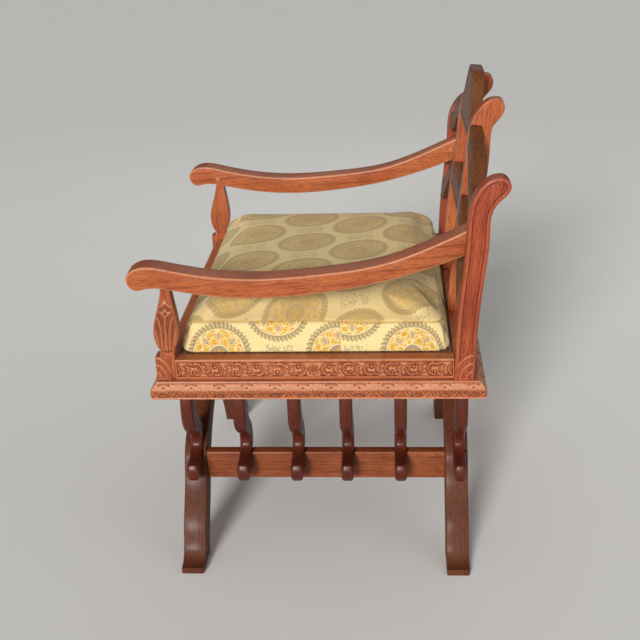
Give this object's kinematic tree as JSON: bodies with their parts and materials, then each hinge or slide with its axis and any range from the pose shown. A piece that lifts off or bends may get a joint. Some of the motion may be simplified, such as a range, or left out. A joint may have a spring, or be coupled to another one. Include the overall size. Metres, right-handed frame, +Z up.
{
  "type": "armchair",
  "caption": "Rigid armchair in the savonarola style: box seat on crossed legs with curved side ribs, sloping arms, an arched open back and a loose cushion.",
  "frame": {"origin": "on the floor under the middle of the chair's bounding box", "axes": "+Z up; +X towards the sitter's left; -Y towards the front, where the sitter's legs are"},
  "size_m": [0.7, 0.6268, 0.844],
  "materials": {
    "stained_wood": "semi-gloss polish over red-brown stain, carved in places",
    "plain_wood": "bare sawn",
    "seat_fabric": "figured jacquard weave",
    "screw_steel": "plain"
  },
  "bodies": {
    "frame": {"arm_left": "stained_wood", "arm_right": "stained_wood", "arm_support_left": "stained_wood", "arm_support_right": "stained_wood", "corner_blocks": "plain_wood", "crest_centre": "stained_wood", "crest_wing_left": "stained_wood", "crest_wing_right": "stained_wood", "crossing_pins": "stained_wood", "front_arm_screws": "screw_steel", "front_rail": "stained_wood", "inner_stile_left": "stained_wood", "inner_stile_right": "stained_wood", "leg_front_left": "stained_wood", "leg_front_right": "stained_wood", "leg_rear_left": "stained_wood", "leg_rear_right": "stained_wood", "mid_rail": "stained_wood", "mid_wing_left": "stained_wood", "mid_wing_right": "stained_wood", "outer_post_left": "stained_wood", "outer_post_right": "stained_wood", "plinth_front": "stained_wood", "plinth_left": "stained_wood", "plinth_rear": "stained_wood", "plinth_right": "stained_wood", "post_dowels": "plain_wood", "rear_arm_screws": "screw_steel", "rear_rail": "stained_wood", "rib_dowels": "plain_wood", "rib_left_1": "stained_wood", "rib_left_2": "stained_wood", "rib_left_3": "stained_wood", "rib_left_4": "stained_wood", "rib_left_5": "stained_wood", "rib_left_6": "stained_wood", "rib_right_1": "stained_wood", "rib_right_2": "stained_wood", "rib_right_3": "stained_wood", "rib_right_4": "stained_wood", "rib_right_5": "stained_wood", "rib_right_6": "stained_wood", "screw_plugs": "stained_wood", "seat_board": "plain_wood", "seat_cleats": "plain_wood", "side_rail_left": "stained_wood", "side_rail_right": "stained_wood", "side_stretcher_left": "stained_wood", "side_stretcher_right": "stained_wood", "stile_dowels": "plain_wood", "stretcher_dowels": "plain_wood"},
    "cushion": {"seat_cushion": "seat_fabric"}
  },
  "joints": [
    {"name": "cushion_slide", "type": "slide", "parent": "frame", "child": "cushion", "axis": [0, -1, 0], "range_m": [0, 0.3]}
  ]
}
